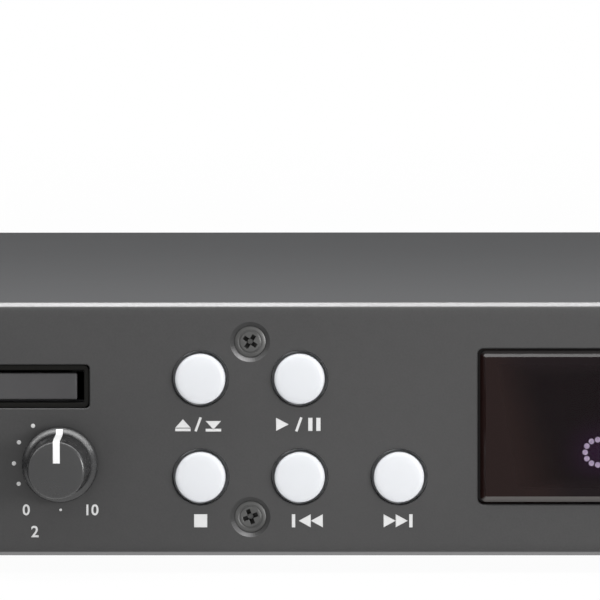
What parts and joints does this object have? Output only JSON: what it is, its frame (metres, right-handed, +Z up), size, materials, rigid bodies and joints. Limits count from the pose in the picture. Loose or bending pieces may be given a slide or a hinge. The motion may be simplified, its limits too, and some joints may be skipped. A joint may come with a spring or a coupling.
{
  "type": "karaoke dvd player",
  "caption": "Flat rack-width karaoke disc player with a motor-driven disc tray, microphone sockets, level knobs, round transport buttons and a smoked display window.",
  "frame": {"origin": "centre of the footprint's bounding box on the surface that the feet stand on", "axes": "+Z up, +X to the right as seen from the front, front face towards -Y"},
  "size_m": [0.4826, 0.265, 0.047],
  "materials": {
    "panel": "dark grey satin anodised aluminium",
    "steel": "zinc plated sheet steel",
    "black_paint": "fine textured black powder coat",
    "rubber": "matt black rubber",
    "screw_black": "black oxide screw",
    "white_plastic": "smooth white plastic",
    "black_plastic": "moulded black plastic",
    "grey_plastic": "moulded dark grey plastic",
    "natural_plastic": "unpainted acetal",
    "circuit_board": "green solder mask",
    "nickel": "nickel plated metal",
    "smoked_acrylic": "smoked glossy acrylic",
    "display_glass": "dark display glass",
    "transformer_tape": "yellow winding tape"
  },
  "bodies": {
    "case": {"front_panel": "panel", "chassis": "steel", "rear_panel": "black_paint", "top_cover": "black_paint", "foot_front_left": "rubber", "foot_front_right": "rubber", "foot_rear_left": "rubber", "foot_rear_right": "rubber", "panel_screw_1": "screw_black", "panel_screw_2": "screw_black", "panel_screw_3": "screw_black", "panel_screw_4": "screw_black", "panel_screw_5": "screw_black", "panel_screw_6": "screw_black", "button_board": "circuit_board", "volume_pot_1": "nickel", "volume_pot_2": "nickel", "echo_pot": "nickel", "mic_jack_1": "black_plastic", "mic_jack_2": "black_plastic", "mic_nut_1": "nickel", "mic_nut_2": "nickel", "mic_board": "circuit_board", "display_lens": "smoked_acrylic", "display_tube": "display_glass", "display_board": "circuit_board", "power_switch": "black_plastic", "usb_port": "nickel", "loader_frame": "black_plastic", "drive_belt": "rubber", "loading_motor": "steel", "clamp_bridge": "black_plastic", "main_board": "circuit_board", "power_board": "circuit_board", "transformer": "transformer_tape", "ac_inlet": "black_plastic", "av_block": "black_plastic"},
    "tray_body": {"disc_tray": "grey_plastic"},
    "drive_gear_body": {"drive_gear": "natural_plastic"},
    "pulley_gear_body": {"pulley_gear": "natural_plastic"},
    "motor_pulley_body": {"motor_pulley": "natural_plastic"},
    "cam_body": {"cam_slider": "natural_plastic"},
    "traverse_body": {"traverse": "steel", "guide_rod_left": "nickel", "guide_rod_right": "nickel", "spindle_motor": "steel", "sled_motor": "steel"},
    "turntable_body": {"turntable": "black_plastic"},
    "sled_body": {"pickup_sled": "black_plastic"},
    "sled_gear_body": {"sled_gear": "natural_plastic"},
    "puck_body": {"clamp_puck": "black_plastic"},
    "rocker_body": {"power_rocker": "black_plastic"},
    "volume_1_body": {"volume_knob_1": "black_plastic"},
    "volume_2_body": {"volume_knob_2": "black_plastic"},
    "echo_body": {"echo_knob": "black_plastic"},
    "open_body": {"open_button": "white_plastic"},
    "play_body": {"play_button": "white_plastic"},
    "stop_body": {"stop_button": "white_plastic"},
    "previous_body": {"previous_button": "white_plastic"},
    "next_body": {"next_button": "white_plastic"}
  },
  "joints": [
    {"name": "tray_slide", "type": "slide", "parent": "case", "child": "tray_body", "axis": [0, -1, 0], "range_m": [0, 0.138]},
    {"name": "drive_gear_spin", "type": "hinge", "parent": "case", "child": "drive_gear_body", "pos_m": [-0.1779, -0.084, 0.032], "axis": [0, 0, 1], "continuous": true},
    {"name": "pulley_gear_spin", "type": "hinge", "parent": "case", "child": "pulley_gear_body", "pos_m": [-0.18685, -0.07074, 0.034], "axis": [0, 0, 1], "continuous": true},
    {"name": "motor_pulley_spin", "type": "hinge", "parent": "case", "child": "motor_pulley_body", "pos_m": [-0.18785, -0.04374, 0.0357], "axis": [0, 0, 1], "continuous": true},
    {"name": "cam_slide", "type": "slide", "parent": "case", "child": "cam_body", "axis": [1, 0, 0], "range_m": [0, 0.015]},
    {"name": "traverse_tilt", "type": "hinge", "parent": "case", "child": "traverse_body", "pos_m": [-0.1041, 0.0429, 0.0234], "axis": [1, 0, 0], "range_deg": [0, 4.2]},
    {"name": "turntable_spin", "type": "hinge", "parent": "traverse_body", "child": "turntable_body", "pos_m": [-0.1041, -0.0491, 0.032], "axis": [0, 0, 1], "continuous": true},
    {"name": "puck_spin", "type": "hinge", "parent": "case", "child": "puck_body", "pos_m": [-0.1041, -0.0491, 0.038], "axis": [0, 0, 1], "continuous": true},
    {"name": "sled_slide", "type": "slide", "parent": "traverse_body", "child": "sled_body", "axis": [0, 1, 0], "range_m": [0, 0.035]},
    {"name": "sled_gear_spin", "type": "hinge", "parent": "traverse_body", "child": "sled_gear_body", "pos_m": [-0.0755, 0.00241, 0.0262], "axis": [0, 0, 1], "continuous": true},
    {"name": "power_rocker_tilt", "type": "hinge", "parent": "case", "child": "rocker_body", "pos_m": [-0.193, -0.1165, 0.025], "axis": [-1, 0, 0], "range_deg": [0, 16]},
    {"name": "volume_1_turn", "type": "hinge", "parent": "case", "child": "volume_1_body", "pos_m": [-0.0708, -0.1165, 0.0191], "axis": [0, 1, 0], "range_deg": [-150, 150]},
    {"name": "volume_2_turn", "type": "hinge", "parent": "case", "child": "volume_2_body", "pos_m": [-0.0417, -0.1165, 0.0191], "axis": [0, 1, 0], "range_deg": [-150, 150]},
    {"name": "echo_turn", "type": "hinge", "parent": "case", "child": "echo_body", "pos_m": [-0.0999, -0.1165, 0.0191], "axis": [0, 1, 0], "range_deg": [-150, 150]},
    {"name": "open_press", "type": "slide", "parent": "case", "child": "open_body", "axis": [0, 1, 0], "range_m": [0, 0.0006], "stiffness_N_per_m": 1500},
    {"name": "play_press", "type": "slide", "parent": "case", "child": "play_body", "axis": [0, 1, 0], "range_m": [0, 0.0006], "stiffness_N_per_m": 1500},
    {"name": "stop_press", "type": "slide", "parent": "case", "child": "stop_body", "axis": [0, 1, 0], "range_m": [0, 0.0006], "stiffness_N_per_m": 1500},
    {"name": "previous_press", "type": "slide", "parent": "case", "child": "previous_body", "axis": [0, 1, 0], "range_m": [0, 0.0006], "stiffness_N_per_m": 1500},
    {"name": "next_press", "type": "slide", "parent": "case", "child": "next_body", "axis": [0, 1, 0], "range_m": [0, 0.0006], "stiffness_N_per_m": 1500}
  ],
  "couplings": [
    {"joint": "drive_gear_spin", "follows": "tray_slide", "rad_per_m": -111.11},
    {"joint": "pulley_gear_spin", "follows": "tray_slide", "rad_per_m": 142.86},
    {"joint": "motor_pulley_spin", "follows": "tray_slide", "rad_per_m": 399.27},
    {"joint": "traverse_tilt", "follows": "cam_slide", "rad_per_m": 4.8869},
    {"joint": "puck_spin", "follows": "turntable_spin", "ratio": 1},
    {"joint": "sled_gear_spin", "follows": "sled_slide", "rad_per_m": -178.57}
  ]
}
